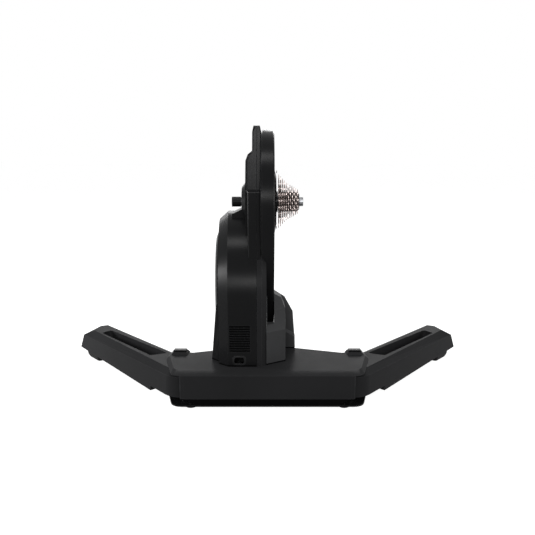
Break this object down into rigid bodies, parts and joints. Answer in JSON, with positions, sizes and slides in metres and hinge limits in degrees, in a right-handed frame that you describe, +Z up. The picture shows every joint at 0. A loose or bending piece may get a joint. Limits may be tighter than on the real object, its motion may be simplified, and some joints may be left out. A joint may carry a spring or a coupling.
{
  "type": "direct drive bike trainer",
  "caption": "Wheel-off bike trainer with a cassette on its axle, a belt-driven flywheel in a narrow upright housing, and a wide base with folding legs.",
  "frame": {"origin": "middle of the bounding box seen from above, on the floor under the feet", "axes": "+X to the right as seen from behind, which is the drive side; +Y forward, the way the bicycle points; +Z up"},
  "size_m": [0.8732, 0.3632, 0.518],
  "materials": {
    "black_plastic": "fine matt moulding",
    "dark_plastic": "satin moulding",
    "black_casting": "black powder coat on a casting",
    "rubber_black": "matt",
    "cog_steel": "nickel plated",
    "bar_steel": "turned",
    "grey_aluminium": "turned",
    "dark_aluminium": "black anodised",
    "board_green": "solder mask"
  },
  "bodies": {
    "base": {"base_shell": "black_casting", "base_plate": "dark_plastic", "rear_left_foot": "rubber_black", "rear_right_foot": "rubber_black", "front_left_foot": "rubber_black", "front_right_foot": "rubber_black", "left_hinge_pin": "bar_steel", "right_hinge_pin": "bar_steel", "left_lock_spring": "bar_steel", "right_lock_spring": "bar_steel", "frame": "black_casting", "left_housing": "black_plastic", "flywheel_cap": "dark_plastic", "vent_grille": "dark_plastic", "power_inlet": "dark_plastic", "belt_cover": "black_plastic", "hub_ring": "dark_plastic", "left_fairing": "black_plastic", "right_fairing": "black_plastic", "axle_tube": "bar_steel", "axle_nut": "bar_steel", "left_end_cap": "dark_aluminium", "right_end_cap": "grey_aluminium", "left_hub_bearing": "bar_steel", "right_hub_bearing": "bar_steel", "drive_belt": "rubber_black", "left_shaft_bearing": "bar_steel", "right_shaft_bearing": "bar_steel", "brake_unit": "bar_steel", "control_board": "board_green", "freehub_bearing": "bar_steel"},
    "left_leg_body": {"left_leg": "black_casting", "left_leg_pad": "rubber_black", "left_hinge_bush": "dark_plastic"},
    "right_leg_body": {"right_leg": "black_casting", "right_leg_pad": "rubber_black", "right_hinge_bush": "dark_plastic"},
    "left_lock": {"left_lock_button": "dark_plastic"},
    "right_lock": {"right_lock_button": "dark_plastic"},
    "flywheel_body": {"flywheel": "bar_steel", "flywheel_shaft": "bar_steel", "small_pulley": "dark_aluminium"},
    "pulley_body": {"drive_pulley": "dark_aluminium"},
    "cassette_body": {"freehub_body": "dark_aluminium", "cassette_carrier": "dark_aluminium", "cassette_lockring": "dark_aluminium", "cog_25t": "cog_steel", "cog_23t": "cog_steel", "cog_21t": "cog_steel", "cog_19t": "cog_steel", "cog_17t": "cog_steel", "cog_16t": "cog_steel", "cog_15t": "cog_steel", "cog_14t": "cog_steel", "cog_13t": "cog_steel", "cog_12t": "cog_steel", "cog_11t": "cog_steel"}
  },
  "joints": [
    {"name": "flywheel_spin", "type": "hinge", "parent": "base", "child": "flywheel_body", "pos_m": [-0.06, 0.01135, 0.192], "axis": [1, 0, 0], "continuous": true},
    {"name": "pulley_spin", "type": "hinge", "parent": "base", "child": "pulley_body", "pos_m": [0.002, -0.01165, 0.37], "axis": [1, 0, 0], "continuous": true},
    {"name": "cassette_freewheel", "type": "hinge", "parent": "pulley_body", "child": "cassette_body", "pos_m": [0.04, -0.01165, 0.37], "axis": [1, 0, 0], "continuous": true},
    {"name": "left_leg_fold", "type": "hinge", "parent": "base", "child": "left_leg_body", "pos_m": [-0.16, -0.12665, 0.04], "axis": [0, 0, -1], "range_deg": [0, 40.9]},
    {"name": "right_leg_fold", "type": "hinge", "parent": "base", "child": "right_leg_body", "pos_m": [0.16, -0.12665, 0.04], "axis": [0, 0, 1], "range_deg": [0, 40.9]},
    {"name": "left_lock_press", "type": "slide", "parent": "base", "child": "left_lock", "axis": [0, 0, -1], "range_m": [0, 0.003], "stiffness_N_per_m": 400, "springref_m": -0.001, "deforming": ["left_lock_spring"]},
    {"name": "right_lock_press", "type": "slide", "parent": "base", "child": "right_lock", "axis": [0, 0, -1], "range_m": [0, 0.003], "stiffness_N_per_m": 400, "springref_m": -0.001, "deforming": ["right_lock_spring"]}
  ],
  "couplings": [
    {"joint": "pulley_spin", "follows": "flywheel_spin", "ratio": 0.16}
  ]
}
